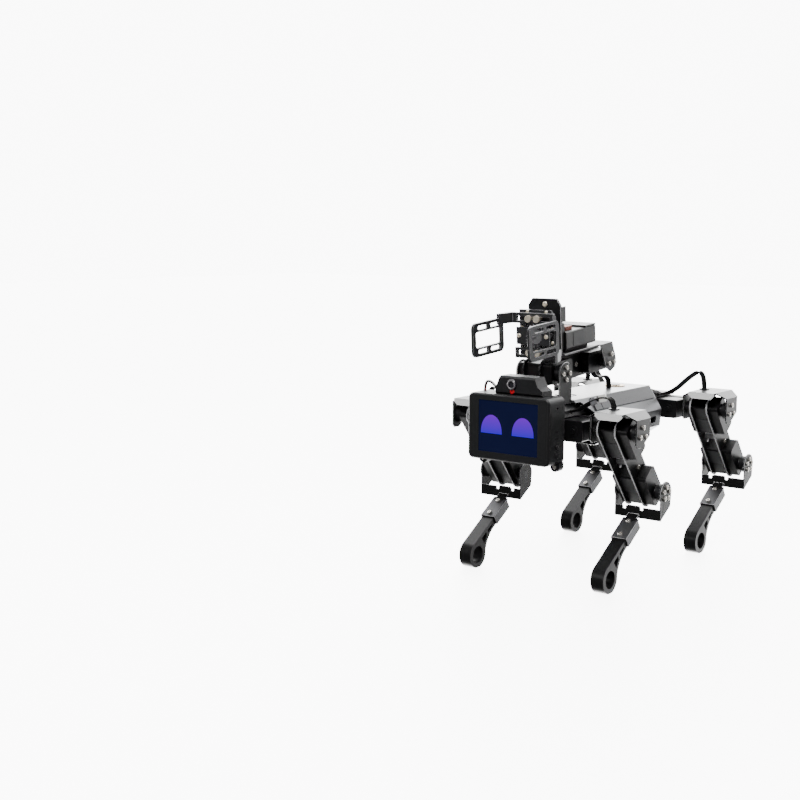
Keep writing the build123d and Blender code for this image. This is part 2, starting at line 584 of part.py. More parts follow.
def cable_ports(shape, route):
    """Cuts the blind ends of a route and of its mirror image."""
    port = rod(route[0], route[1], CABLE_R + RUN)
    return shape - port - mirror(port, about=Plane.XZ)


def servo_cables():
    """Cable loops from the decks to the four hip brackets, and from the elbow servo to the shell."""
    front, rear = cable(FRONT_CABLE), cable(REAR_CABLE)
    return [front, mirror(front, about=Plane.XZ), rear, mirror(rear, about=Plane.XZ), cable(ARM_CABLE)]


# ---------------------------------------------------------------- power button
def power_button():
    """Round button in the top of the shell, with a collar that keeps it in."""
    cap = rod((BUTTON_X, 0, TOP_Z - 2.6), (BUTTON_X, 0, TOP_Z + 0.9), 3.4)
    cap = fillet(cap.faces().sort_by(Axis.Z)[-1].edges(), 0.4)
    return cap


def button_ring():
    """Ring around the power button."""
    ring = rod((BUTTON_X, 0, TOP_Z - SHELL_WALL), (BUTTON_X, 0, TOP_Z + 0.5), 4.9)
    ring += rod((BUTTON_X, 0, TOP_Z), (BUTTON_X, 0, TOP_Z + 0.5), 6.4)
    return ring - rod((BUTTON_X, 0, TOP_Z - 4), (BUTTON_X, 0, TOP_Z + 2), 3.5)


# ---------------------------------------------------------------- arm
ARM_BASE_Z = TOP_Z - SHELL_WALL


def arm_base_bracket():
    """Upright yoke that carries the shoulder."""
    dx, dz = SHOULDER_X, SHOULDER_Z
    low = ARM_BASE_Z - dz
    sheet = block(-7, 7, YOKE_IN - SHEET, YOKE_OUT + SHEET, low, low + SHEET)
    for y in (YOKE_IN - SHEET, YOKE_OUT):
        sheet += block(-7, 7, y, y + SHEET, low, 0) + rod((0, y, 0), (0, y + SHEET, 0), 7)
    return Pos(dx, ARM_Y, dz) * ear_holes(sheet, BASE_SCREWS)


def forearm(shape):
    """Turns a shape drawn level about the elbow to the forearm's droop."""
    hinge = Pos(ELBOW_X, 0, ELBOW_Z)
    return hinge * Rot(0, FOREARM_TILT, 0) * hinge.inverse() * shape


def elbow_bracket():
    """Forearm sheet: a yoke about the elbow and the tray that runs forward to the gripper."""
    top = TRAY_Z - ELBOW_Z
    front = FRAME_X - ELBOW_X
    yoke = block(-2, 13, YOKE_IN - SHEET, YOKE_OUT + SHEET, top - SHEET, top)
    tray = block(12, front, ARM_TRAY[0] - ARM_Y, ARM_TRAY[1] - ARM_Y, top - SHEET, top)
    ear = [(13, top), (-2, top), (-6.6, 0), (-5, -5), (1, -7.2), (6.5, -3.5)]
    for y in (YOKE_IN - SHEET, YOKE_OUT):
        yoke += side_plate(ear, y, y + SHEET)
    return Pos(ELBOW_X, ARM_Y, ELBOW_Z) * ear_holes(yoke + tray)


def gripper_servo():
    """Gripper servo over the tray: a long case, and a taller gear housing that holds the shaft."""
    low, high = GRIP_Z - 10.25, GRIP_Z + 0.35
    half, gear_rear = (SERVO_NEAR + SERVO_FAR) / 2, FRAME_X - 4.4
    case = block(CASE_REAR, gear_rear, -half, half, low, high)
    case = chamfer(case.edges().filter_by(Axis.X), 0.6)
    lip = block(CASE_REAR, CASE_REAR + 12, -half, half, high, high + 1.1)
    gears = block(gear_rear, FRAME_X, -half + 1.2, half - 1.2, low - 0.4, GRIP_Z + GEAR_HALF)
    gears = round_edges(gears, Axis.X, 2.2)
    foot_block = block(CASE_REAR + 4, FRAME_X - 9, -8, 8, TRAY_Z, low)
    neck = rod((FRAME_X, 0, GRIP_Z), (FRAME_X + 1.4, 0, GRIP_Z), 4.2)
    bore = rod((FRAME_X - 4, 0, GRIP_Z), (FRAME_X + 3, 0, GRIP_Z), SHAFT_R + RUN)
    return case + lip + gears + foot_block + neck - bore


def gripper_frame():
    """Black bracket in front of the servo: a tall plate with rounded shoulders and side flanges."""
    low, high = TRAY_Z - SHEET, GRIP_Z + 21
    x = FRAME_X
    outline = [(-11, low), (11.5, low), (11.5, high - 4), (9, high), (-8, high), (-11, high - 4)]
    plate = front_plate(outline, x, x + 1.5)
    plate -= rod((x - 1, 0, GRIP_Z), (x + 3, 0, GRIP_Z), 5.0)
    plate -= rod((x - 1, 1, high - 3.5), (x + 3, 1, high - 3.5), 0.85)
    plate += block(x - 4.5, x, 10.5, 11.5, GRIP_Z + 7, high - 5)
    return plate + block(x - 6, x, -11, -10, GRIP_Z + 8.5, high - 5)


def gripper_plate():
    """Grey base plate behind the racks, and the cover over the pinion on its two posts."""
    x = RACK_X - 3.1
    low, high = GRIP_Z - 14.4, GRIP_Z + 15
    plate = front_plate([(-12.3, low), (12.3, low), (12.3, high - 4), (9.5, high), (-12.3, high)], x, x + 1.5)
    plate -= rod((x - 1, 0, GRIP_Z), (x + 2, 0, GRIP_Z), 5.6)
    cover = block(RACK_X + RACK_T + 0.2, RACK_X + RACK_T + 1.2, -11.4, 11.4, GRIP_Z - 5.2, GRIP_Z + 5.2)
    cover -= rod((RACK_X, 1.5, GRIP_Z), (RACK_X + 6, 1.5, GRIP_Z), 4.6)
    posts = []
    for y in (-9.4, 9.4):
        posts.append(rod((FRAME_X + 1.5, y, GRIP_Z), (RACK_X + RACK_T + 0.2, y, GRIP_Z), 1.6))
    for post in posts:
        plate += post
    return plate + cover


def guide_screws():
    """Shouldered screws in the base plate that the slots of the two racks slide along."""
    back, front = RACK_X - 1.6, RACK_X + RACK_T + 0.2
    screws = []
    for sign in (1, -1):
        for y in PIN_Y:
            z = GRIP_Z + sign * RACK_MID
            pin = rod((back, y, z), (front + 0.2, y, z), PIN_R)
            screws.append(pin + rod((front, y, z), (front + 1.4, y, z), 2.15))
    return screws


RACK_MID = PITCH_R + 3.8    # middle of a rack bar, from the pinion axis
RACK_HALF = 3.4
TRAVEL = PITCH_R * math.radians(65)     # each finger's travel, either way
RACK_TEETH = 8


def rack_teeth():
    """Outlines (y, height over the pitch line) of straight teeth, thinned for a little backlash."""
    pitch = math.pi * MODULE
    tip, root, play = 0.62, 0.95, 0.14
    slope = math.tan(math.radians(20))
    half = pitch / 4 - play / 2
    teeth = []
    for i in range(RACK_TEETH):
        y = (i - (RACK_TEETH - 1) / 2) * pitch
        teeth.append([(y - half - slope * root, root), (y - half + slope * tip, -tip),
                      (y + half - slope * tip, -tip), (y + half + slope * root, root)])
    return teeth


def finger(sign):
    """A finger: rack bar, 45 degree arm and framed pad; over (1, right) or under (-1, left) the pinion."""
    side = -sign
    pitch_line = GRIP_Z + sign * PITCH_R
    middle = GRIP_Z + sign * RACK_MID
    z0, z1 = sorted((pitch_line + sign * 0.9, middle + sign * RACK_HALF))
    shape = block(RACK_X, RACK_X + RACK_T, *sorted((-side * 13.4, side * 17.0)), z0, z1)
    for tooth in rack_teeth():
        shape += front_plate([(y, pitch_line + sign * h) for y, h in tooth], RACK_X, RACK_X + RACK_T)
    reach = TRAVEL + PIN_R + 0.15
    slot = block(RACK_X - 1, RACK_X + 4, PIN_Y[0] - reach, PIN_Y[1] + reach, middle - PIN_R - 0.05,
                 middle + PIN_R + 0.05)
    root_y, tip_y = side * (JAW_HALF - 4), side * JAW_HALF
    arm = [(RACK_X, root_y), (RACK_X + RACK_T, root_y), (PAD_REAR + 5, tip_y),
           (PAD_REAR + 5, tip_y + side * PAD_T), (PAD_REAR + 2, tip_y + side * PAD_T),
           (RACK_X, root_y + side * 2.6)]
    outline = Polyline(*[(x, y, z0) for x, y in arm], close=True)
    link = extrude(make_face(outline), amount=z1 - z0, dir=(0, 0, 1))
    return shape - slot + link + finger_pad(tip_y, side)


def finger_pad(y, side):
    """Framed pad of a finger, its gripping face at y, with one big and four small windows."""
    pad = block(PAD_REAR, PAD_FRONT, *sorted((y, y + side * PAD_T)), PAD_LOW, PAD_HIGH)
    pad = round_edges(pad, Axis.Y, PAD_CORNER)
    window = block(PAD_REAR + 3, PAD_FRONT - 3, -40, 40, PAD_LOW + 5.4, PAD_HIGH - 5.4)
    pad -= round_edges(window, Axis.Y, 1.2)
    for z in (PAD_LOW + 1.8, PAD_HIGH - 4.2):
        for x in (PAD_REAR + 3.6, PAD_REAR + 16.4):
            pad -= round_edges(block(x, x + 10.2, -40, 40, z, z + 2.4), Axis.Y, 1.0)
    return pad


def pinion():
    """Involute pinion on the gripper servo's shaft."""
    base_r = PITCH_R * math.cos(math.radians(20))
    tip_r, root_r, play = PITCH_R + 0.72, PITCH_R - 0.85, 0.1
    half_at_base = math.pi / (2 * TEETH) - play / (2 * PITCH_R) + math.tan(math.radians(20)) - math.radians(20)
    points = []
    steps = 5
    for i in range(TEETH):
        centre = 2 * math.pi * i / TEETH
        flank = []
        for k in range(steps + 1):
            r = base_r + (tip_r - base_r) * k / steps
            roll = math.sqrt(max(r * r / base_r ** 2 - 1, 0))
            flank.append((r, half_at_base - (roll - math.atan(roll))))
        left = [(root_r, half_at_base)] + flank
        for r, a in left:
            points.append((r * math.cos(centre - a), r * math.sin(centre - a)))
        for r, a in reversed(left):
            points.append((r * math.cos(centre + a), r * math.sin(centre + a)))
    gear = front_plate([(y, GRIP_Z + z) for y, z in points], RACK_X, RACK_X + RACK_T)
    horn = rod((FRAME_X + 1.7, 0, GRIP_Z), (RACK_X, 0, GRIP_Z), 4.8)
    shaft = rod((FRAME_X - 3.8, 0, GRIP_Z), (FRAME_X + 2, 0, GRIP_Z), SHAFT_R)
    return gear + horn + shaft + screw((RACK_X + RACK_T, 0, GRIP_Z), (1, 0, 0), 0.5, 1.5, 0.8)


def main():
    """Builds and exports every node."""
    os.makedirs("parts", exist_ok=True)
    roll_servos = [leg(name, hip_x, side) for name, (hip_x, side) in LEGS.items()]
    at_arm = Pos(SHOULDER_X, ARM_Y, SHOULDER_Z)
    at_link = at_arm * Rot(0, ARM_TILT, 0)
    arm_port = rod(ARM_CABLE[0], ARM_CABLE[1], CABLE_R + RUN)
    nodes = {
        "hip_servos": group(roll_servos),
        "body_shell": body_shell(),
        "side_panels": group([side_panel(), mirror(side_panel(), about=Plane.XZ)]),
        "front_frame": front_frame(),
        "rear_frame": rear_frame(),
        "bottom_cover": bottom_cover(),
        "battery": battery(),
        "control_board": control_board(),
        "body_screws": group(body_screws()),
        "head_housing": head_housing(),
        "screen": screen(),
        "camera_cover": camera_cover(),
        "camera_lens": camera_lens(),
        "head_key_lower": head_key(KEY_Z[0]),
        "head_key_upper": head_key(KEY_Z[1]),
        "power_button": power_button(),
        "button_ring": button_ring(),
        "arm_base_bracket": arm_base_bracket(),
        "arm_base_horns": at_arm * group(yoke_fittings(BASE_SCREWS)),
        "upper_arm_plates": at_link * group(link_plates(ARM_LINK)),
        "upper_arm_servos": group([at_link * s - arm_port for s in link_servos(ARM_LINK)]),
        "elbow_bracket": forearm(elbow_bracket()),
        "elbow_horns": forearm(Pos(ELBOW_X, ARM_Y, ELBOW_Z) * group(yoke_fittings())),
        "gripper_servo": forearm(gripper_servo()),
        "gripper_frame": forearm(gripper_frame()),
        "gripper_plate": forearm(gripper_plate()),
        "gripper_guide_screws": forearm(group(guide_screws())),
        "gripper_pinion": forearm(pinion()),
        "right_finger": forearm(finger(1)),
        "left_finger": forearm(finger(-1)),
        "servo_cables": group(servo_cables()),
        "camera_cable": cable(CAMERA_CABLE),
    }
    for name, shape in nodes.items():
        export(shape, name)


main()
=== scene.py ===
"""Looks of the desktop quadruped robot: materials, fine hardware, cables, light and camera.

Every shape that moves or carries load is a CAD node. This script gives each node a finish with
This script gives each node a finish with broken edges and painted highlights on the bracket edges and hip bracket
lips, adds the small hardware and the cables, and rides each piece on the body it is on.
"""
import bpy
import bmesh
import json
import math
from mathutils import Matrix, Vector


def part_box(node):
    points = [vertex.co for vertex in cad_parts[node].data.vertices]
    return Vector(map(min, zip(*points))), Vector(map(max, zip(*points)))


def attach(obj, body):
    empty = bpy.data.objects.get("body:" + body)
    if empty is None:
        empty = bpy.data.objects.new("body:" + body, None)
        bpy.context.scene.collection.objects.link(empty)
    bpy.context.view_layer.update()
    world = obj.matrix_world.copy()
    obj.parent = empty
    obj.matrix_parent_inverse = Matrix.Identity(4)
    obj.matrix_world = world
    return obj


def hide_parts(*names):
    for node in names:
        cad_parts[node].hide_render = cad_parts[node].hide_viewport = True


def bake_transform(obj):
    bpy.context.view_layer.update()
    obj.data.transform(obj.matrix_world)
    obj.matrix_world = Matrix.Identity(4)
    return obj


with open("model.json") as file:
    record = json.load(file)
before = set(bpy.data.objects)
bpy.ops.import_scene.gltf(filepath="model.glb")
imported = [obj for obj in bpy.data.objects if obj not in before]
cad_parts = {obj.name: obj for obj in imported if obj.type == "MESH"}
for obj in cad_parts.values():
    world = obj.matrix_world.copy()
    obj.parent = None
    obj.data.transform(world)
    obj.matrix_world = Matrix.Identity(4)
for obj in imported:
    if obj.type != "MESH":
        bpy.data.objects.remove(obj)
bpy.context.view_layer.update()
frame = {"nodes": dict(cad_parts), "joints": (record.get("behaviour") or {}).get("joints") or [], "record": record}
NODES = frame["nodes"]
JOINTS = {j["name"]: j for j in frame["joints"]}
SIDES = {"front_left": 1, "front_right": -1, "rear_left": 1, "rear_right": -1}
MM = 0.001
HIP_X = 61.0
ORIGIN = JOINTS["front_left_pitch"]["pos_m"][0] - HIP_X * MM     # midpoint between the hips


def at(x, y, z):
    """A point given in millimetres from the midpoint between the hips, on the floor."""
    return Vector((x * MM + ORIGIN, y * MM, z * MM))


# ---------------------------------------------------------------- camera, light and floor
CAM_LENS = 56.814
CAM_ANGLES = (218.30, 7.62, 0.13)       # heading of the view, degrees down, roll
CAM_PLACE = (709.7, 399.5, 210.3)
WORLD_FRONT, WORLD_BACK = 0.16, 10.0    # background strength on the camera's side and behind the object
WORLD_BLEND = (0.25, 0.92)              # where the one fades into the other, as a cosine
FLOOR_HALF = 4                          # metres
FLOOR_GLOW = 7.0
HEADING = Vector((math.cos(math.radians(CAM_ANGLES[0])), math.sin(math.radians(CAM_ANGLES[0])), 0))


def camera():
    """Camera at the photograph's viewing angle."""
    data = bpy.data.cameras.new("camera")
    data.sensor_width = 36.0
    data.lens = CAM_LENS
    data.clip_start = 0.01
    obj = bpy.data.objects.new("camera", data)
    bpy.context.scene.collection.objects.link(obj)
    heading, pitch, roll = (math.radians(a) for a in CAM_ANGLES)
    forward = Vector((math.cos(heading) * math.cos(pitch), math.sin(heading) * math.cos(pitch),
                      -math.sin(pitch)))
    turn = forward.to_track_quat("-Z", "Y").to_matrix().to_4x4()
    obj.matrix_world = Matrix.Translation(at(*CAM_PLACE)) @ turn @ Matrix.Rotation(roll, 4, "Z")
    bpy.context.scene.camera = obj


def area_light(name, place, target, size, power, tint=(1, 1, 1)):
    """One soft rectangular light."""
    data = bpy.data.lights.new(name, "AREA")
    data.shape = "RECTANGLE"
    data.size, data.size_y = size
    data.energy = power
    data.color = tint
    obj = bpy.data.objects.new(name, data)
    bpy.context.scene.collection.objects.link(obj)
    obj.location = place
    obj.rotation_euler = (Vector(target) - Vector(place)).to_track_quat("-Z", "Y").to_euler()


def studio():
    """White studio: bright behind the object, dimmer on the side that the camera stands on."""
    area_light("key", (0.7, 0.25, 0.95), (0, 0, 0.08), (0.4, 0.4), 14)
    area_light("side", (-0.35, 1.0, 0.45), (0, 0, 0.08), (0.12, 0.5), 1.6)
    area_light("fill", (1.0, -0.3, 0.5), (0, 0, 0.08), (0.4, 0.4), 1.5)
    area_light("top", (-0.1, 0, 1.1), (0, 0, 0), (0.6, 0.6), 6)
    world = bpy.data.worlds.new("world")
    world.use_nodes = True
    nodes, links = world.node_tree.nodes, world.node_tree.links
    coords = nodes.new("ShaderNodeTexCoord")
    facing = nodes.new("ShaderNodeVectorMath")
    facing.operation = "DOT_PRODUCT"
    facing.inputs[1].default_value = HEADING
    links.new(coords.outputs["Generated"], facing.inputs[0])
    spread = nodes.new("ShaderNodeMapRange")
    spread.interpolation_type = "SMOOTHSTEP"
    spread.inputs["From Min"].default_value = WORLD_BLEND[0]
    spread.inputs["From Max"].default_value = WORLD_BLEND[1]
    spread.inputs["To Min"].default_value = WORLD_FRONT
    spread.inputs["To Max"].default_value = WORLD_BACK
    links.new(facing.outputs["Value"], spread.inputs["Value"])
    links.new(spread.outputs["Result"], nodes["Background"].inputs["Strength"])
    nodes["Background"].inputs["Color"].default_value = (1, 1, 1, 1)
    bpy.context.scene.world = world



def floor():
    """Plain pale floor."""
    bm = bmesh.new()
    bmesh.ops.create_grid(bm, x_segments=1, y_segments=1, size=FLOOR_HALF)
    mesh = bpy.data.meshes.new("floor")
    bm.to_mesh(mesh)
    obj = bpy.data.objects.new("floor", mesh)
    bpy.context.scene.collection.objects.link(obj)
    mat = bpy.data.materials.new("floor")
    mat.use_nodes = True
    shader = mat.node_tree.nodes["Principled BSDF"]
    shader.inputs["Base Color"].default_value = (0.93, 0.93, 0.93, 1)
    shader.inputs["Roughness"].default_value = 0.45
    shader.inputs["Emission Color"].default_value = (1, 1, 1, 1)
    shader.inputs["Emission Strength"].default_value = FLOOR_GLOW
    mesh.materials.append(mat)
    obj.visible_diffuse = False
    obj.visible_glossy = False


camera()
studio()
floor()


# ---------------------------------------------------------------- materials
BROAD_GRAIN = 45            # scale of the noise that varies the colour
RELIEF_DEPTH = 0.1 * MM


def material(name, color, roughness, metallic=0.0, bump=0.0, grain=900.0, stretch=(1, 1, 1), vary=0.12,
             coat=0.0, specular=0.35, wear=0.07):
    """Procedural finish: colour and roughness vary with fine noise, with a small bump of the grain."""
    mat = bpy.data.materials.new(name)
    mat.use_nodes = True
    nodes, links = mat.node_tree.nodes, mat.node_tree.links
    shader = nodes["Principled BSDF"]
    shader.inputs["Metallic"].default_value = metallic
    shader.inputs["Coat Weight"].default_value = coat
    shader.inputs["Specular IOR Level"].default_value = specular
    coords = nodes.new("ShaderNodeTexCoord")
    mapping = nodes.new("ShaderNodeMapping")
    mapping.inputs["Scale"].default_value = stretch
    links.new(coords.outputs["Object"], mapping.inputs["Vector"])
    fine = nodes.new("ShaderNodeTexNoise")
    fine.inputs["Scale"].default_value = grain
    fine.inputs["Detail"].default_value = 4
    links.new(mapping.outputs["Vector"], fine.inputs["Vector"])
    broad = nodes.new("ShaderNodeTexNoise")
    broad.inputs["Scale"].default_value = BROAD_GRAIN
    broad.inputs["Detail"].default_value = 3
    links.new(coords.outputs["Object"], broad.inputs["Vector"])
    ramp = nodes.new("ShaderNodeValToRGB")
    low = [c * (1 - vary) for c in color]
    high = [min(1, c * (1 + vary)) for c in color]
    ramp.color_ramp.elements[0].position, ramp.color_ramp.elements[1].position = 0.3, 0.7
    ramp.color_ramp.elements[0].color = (*low, 1)
    ramp.color_ramp.elements[1].color = (*high, 1)
    links.new(broad.outputs["Fac"], ramp.inputs["Fac"])
    links.new(ramp.outputs["Color"], shader.inputs["Base Color"])
    spread = nodes.new("ShaderNodeMapRange")
    spread.inputs["To Min"].default_value = max(0.04, roughness - wear)
    spread.inputs["To Max"].default_value = min(1, roughness + wear)
    links.new(fine.outputs["Fac"], spread.inputs["Value"])
    links.new(spread.outputs["Result"], shader.inputs["Roughness"])
    if bump:
        relief = nodes.new("ShaderNodeBump")
        relief.inputs["Strength"].default_value = bump
        relief.inputs["Distance"].default_value = RELIEF_DEPTH
        links.new(fine.outputs["Fac"], relief.inputs["Height"])
        links.new(relief.outputs["Normal"], shader.inputs["Normal"])
    return mat


MATS = {
    "black_bracket": material("black_bracket", (0.006, 0.006, 0.0065), 0.36, 0.0, 0.1, 1400),
    # Painted edge highlight: a light grey for the bevels and plate edges of the dark brackets, standing in for
    # light caught on those edges.
    "painted_edge_highlight": material("painted_edge_highlight", (0.6, 0.6, 0.61), 0.34, 0.3, 0.05, 1400),
    # Painted highlight: near-white for the front faces of the black hip bracket lips, standing in for light
    # reflected there.
    "lip_painted_highlight": material("lip_painted_highlight", (0.95, 0.95, 0.94), 0.45, 0.0, 0.05, 900, (1, 8, 1), 0.04),
    "frame_black": material("frame_black", (0.005, 0.005, 0.0055), 0.36, 0.0, 0.15, 1600),
    "horn": material("horn", (0.007, 0.007, 0.008), 0.36, 0, 0.12, 1500),
    "servo_plastic": material("servo_plastic", (0.0045, 0.0045, 0.005), 0.36, 0, 0.2, 1800),
    "channel_metal": material("channel_metal", (0.11, 0.11, 0.115), 0.34, 0.75, 0.1, 500, (1, 12, 1)),
    "yoke_black": material("yoke_black", (0.008, 0.008, 0.0085), 0.28, 0.1, 0.1, 1200),
    "foot_plastic": material("foot_plastic", (0.005, 0.005, 0.0053), 0.3, 0, 0.12, 1500),
    "shell_silver": material("shell_silver", (0.17, 0.173, 0.18), 0.3, 0.8, 0.06, 1600, vary=0.04),
    "panel_grey": material("panel_grey", (0.035, 0.036, 0.04), 0.3, 0.3, 0.08, 1500, vary=0.08),
    "battery_wrap": material("battery_wrap", (0.03, 0.05, 0.12), 0.3, 0, 0.1, 700),
    "board": material("board", (0.012, 0.06, 0.03), 0.35, 0, 0.15, 900),
    "screw_steel": material("screw_steel", (0.78, 0.75, 0.7), 0.24, 0.9, 0.04, 1500),
    "screw_cream": material("screw_cream", (0.86, 0.78, 0.64), 0.3, 0.65, 0.05, 1500),
    "head_plastic": material("head_plastic", (0.0075, 0.0075, 0.0085), 0.46, 0, 0.3, 2200),
    "lens_glass": material("lens_glass", (0.01, 0.01, 0.014), 0.1, 0, 0, 500, coat=1),
    "lens_ring": material("lens_ring", (0.22, 0.21, 0.22), 0.35, 0.6, 0.05, 900),
    "lens_red": material("lens_red", (0.45, 0.004, 0.012), 0.3, 0, 0.03, 900),
    "button_black": material("button_black", (0.015, 0.015, 0.015), 0.4, 0, 0.1, 900),
    "ring_brass": material("ring_brass", (0.42, 0.28, 0.12), 0.3, 0.9, 0.05, 1500),
    "gunmetal": material("gunmetal", (0.05, 0.05, 0.053), 0.32, 0.6, 0.1, 700, (1, 1, 9)),
    "gear_steel": material("gear_steel", (0.45, 0.45, 0.46), 0.3, 0.9, 0.08, 900),
    "cable": material("cable", (0.006, 0.006, 0.006), 0.36, 0, 0.15, 1500),
    "wire_red": material("wire_red", (0.5, 0.012, 0.01), 0.4, 0, 0.08, 1500),
    "wire_white": material("wire_white", (0.8, 0.79, 0.76), 0.42, 0, 0.08, 1500),
    "label_grey": material("label_grey", (0.032, 0.033, 0.036), 0.5, 0, 0.08, 1500),
    "connector_grey": material("connector_grey", (0.16, 0.16, 0.17), 0.45, 0, 0.1, 1500),
    "connector_rust": material("connector_rust", (0.3, 0.09, 0.06), 0.45, 0, 0.1, 1500),
    "seam": material("seam", (0.002, 0.002, 0.002), 0.6, 0, 0.1, 900),
}


def screen_material():
    """Glossy display glass: a deep navy field."""
    mat = material("screen_glass", (0.0035, 0.005, 0.022), 0.14, coat=0.0, specular=0.15, wear=0.02)
    shader = mat.node_tree.nodes["Principled BSDF"]
    shader.inputs["Emission Color"].default_value = (0.012, 0.02, 0.12, 1)
    shader.inputs["Emission Strength"].default_value = 0.12
    return mat


def eye_material():
    """Glow of the two eyes on the display, from magenta at the top to blue violet at the bottom."""
    mat = bpy.data.materials.new("eye_glow")
    mat.use_nodes = True
    nodes, links = mat.node_tree.nodes, mat.node_tree.links
    shader = nodes["Principled BSDF"]
    coords = nodes.new("ShaderNodeTexCoord")
    split = nodes.new("ShaderNodeSeparateXYZ")
    links.new(coords.outputs["Generated"], split.inputs["Vector"])
    ramp = nodes.new("ShaderNodeValToRGB")
    ramp.color_ramp.elements[0].color = (0.05, 0.0, 1.0, 1)
    ramp.color_ramp.elements[1].color = (0.27, 0.0, 1.0, 1)
    links.new(split.outputs["Z"], ramp.inputs["Fac"])
    links.new(ramp.outputs["Color"], shader.inputs["Emission Color"])
    shader.inputs["Base Color"].default_value = (0.01, 0.002, 0.03, 1)
    shader.inputs["Emission Strength"].default_value = 0.72
    shader.inputs["Roughness"].default_value = 0.3
    shader.inputs["Specular IOR Level"].default_value = 0.1
    return mat


MATS["screen_glass"] = screen_material()
MATS["eye_glow"] = eye_material()

# ---------------------------------------------------------------- CAD nodes: finish and broken edges
WELD = 0.01 * MM
EDGE_ANGLE = math.radians(40)
SCREW_SIZE = 5.2             # a solid with a smaller diagonal, in millimetres, is a screw
YOKE_DEPTH = 17              # height of the black yoke below the knee axis
# Finishes whose bevel faces get the painted edge highlight, with the bevel width in millimetres.
EDGED = {"black_bracket": 0.2, "gunmetal": 0.16, "channel_metal": 0.2}
SOFT = {"servo_plastic": 0.3, "frame_black": 0.5, "head_plastic": 0.35, "shell_silver": 0.3,
        "panel_grey": 0.12, "foot_plastic": 0.45, "horn": 0.15}


def islands(mesh):
    """Lists of polygon numbers, one list for each separate solid of a mesh."""
    seen = {}
    owner = []
    for vertex in mesh.vertices:
        key = tuple(round(c / WELD) for c in vertex.co)
        owner.append(seen.setdefault(key, len(seen)))
    parent = list(range(len(seen)))

    def root(i):
        while parent[i] != i:
            parent[i] = parent[parent[i]]
            i = parent[i]
        return i

    for polygon in mesh.polygons:
        first = root(owner[polygon.vertices[0]])
        for v in polygon.vertices[1:]:
            parent[root(owner[v])] = first
    groups = {}
    for polygon in mesh.polygons:
        groups.setdefault(root(owner[polygon.vertices[0]]), []).append(polygon.index)
    return list(groups.values())


def extent(mesh, polygons):
    """Lowest and highest corner of some polygons."""
    points = [mesh.vertices[v].co for p in polygons for v in mesh.polygons[p].vertices]
    low = Vector([min(p[i] for p in points) for i in range(3)])
    return low, Vector([max(p[i] for p in points) for i in range(3)])


def paint_screws(node):
    """Gives the small solids of a node, which are its screws, the plated steel finish."""
    mesh = node.data
    mesh.materials.append(MATS["screw_steel"])
    number = len(mesh.materials) - 1
    for polygons in islands(mesh):
        low, high = extent(mesh, polygons)
        if (high - low).length < SCREW_SIZE * MM:
            for p in polygons:
                mesh.polygons[p].material_index = number


def paint_faces(node, mat, chosen):
    """Gives the polygons that chosen picks a finish of their own."""
    mesh = node.data
    mesh.materials.append(MATS[mat])
    number = len(mesh.materials) - 1
    for polygon in mesh.polygons:
        if chosen(polygon):
            polygon.material_index = number


def finish_nodes():
    """Gives each CAD node its material, welded and with its sharp edges broken; the bevels of the bracket metals
    and the edge faces of the thigh plates get a painted edge highlight, and the front faces of the hip bracket
    lips a painted highlight.
    """
    slots = {s["node"]: s["material_slot"] for s in frame["record"]["subparts"]}
    for name, node in NODES.items():
        slot = slots[name]
        node.data.materials.clear()
        node.data.materials.append(MATS[slot])
        weld = node.modifiers.new("weld", "WELD")
        weld.merge_threshold = WELD
        if slot in EDGED:
            # Slot 1 is the painted edge highlight, light grey standing in for light caught on the bevels.
            node.data.materials.append(MATS["painted_edge_highlight"])
        if slot in EDGED or slot in SOFT:
            bevel = node.modifiers.new("bevel", "BEVEL")
            bevel.width = EDGED.get(slot, SOFT.get(slot)) * MM
            bevel.segments = 1 if slot in EDGED else 2
            bevel.limit_method = "ANGLE"
            bevel.angle_limit = EDGE_ANGLE
            bevel.harden_normals = False
            # The bevel faces take slot 1, the painted edge highlight.
            if slot in EDGED:
                bevel.material = 1
        smooth = node.modifiers.new("normals", "WEIGHTED_NORMAL")
        smooth.keep_sharp = True
        # The edge faces of the thigh plates also get the painted edge highlight: light grey standing in for light
        # along the plate edges.
        if name.endswith("_thigh_plates"):
            paint_faces(node, "painted_edge_highlight", lambda p: abs(p.normal.y) < 0.5)
        if name.endswith(("_horns", "_plates")):
            paint_screws(node)
        # The forward-facing faces at the front of each hip bracket get the painted highlight, near-white for light
        # reflected off the lip.
        if name.endswith("hip_bracket"):
            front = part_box(name)[1].x
            paint_faces(node, "lip_painted_highlight", lambda p: p.normal.x > 0.9 and p.center.x > front - 0.1 * MM)


def finish_shanks():
    """Black yoke at the top of each shank sheet; the channel below it stays bare metal."""
    for leg in SIDES:
        knee = Vector(JOINTS[leg + "_knee"]["pos_m"])
        edge = knee.z - YOKE_DEPTH * MM
        paint_faces(NODES[leg + "_shank_bracket"], "yoke_black", lambda p: p.center.z > edge)


finish_nodes()
finish_shanks()
NODES["gripper_pinion"].data.materials[0] = MATS["gear_steel"]


# ---------------------------------------------------------------- small pieces
def piece(name, bm, mats, body):
    """Makes an object from a bmesh, gives it its finishes and rides it on a body."""
    mesh = bpy.data.meshes.new(name)
    bm.to_mesh(mesh)
    bm.free()
    for mat in mats:
        mesh.materials.append(MATS[mat])
    obj = bpy.data.objects.new(name, mesh)
    bpy.context.scene.collection.objects.link(obj)
    if body:
        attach(obj, body)
    return obj


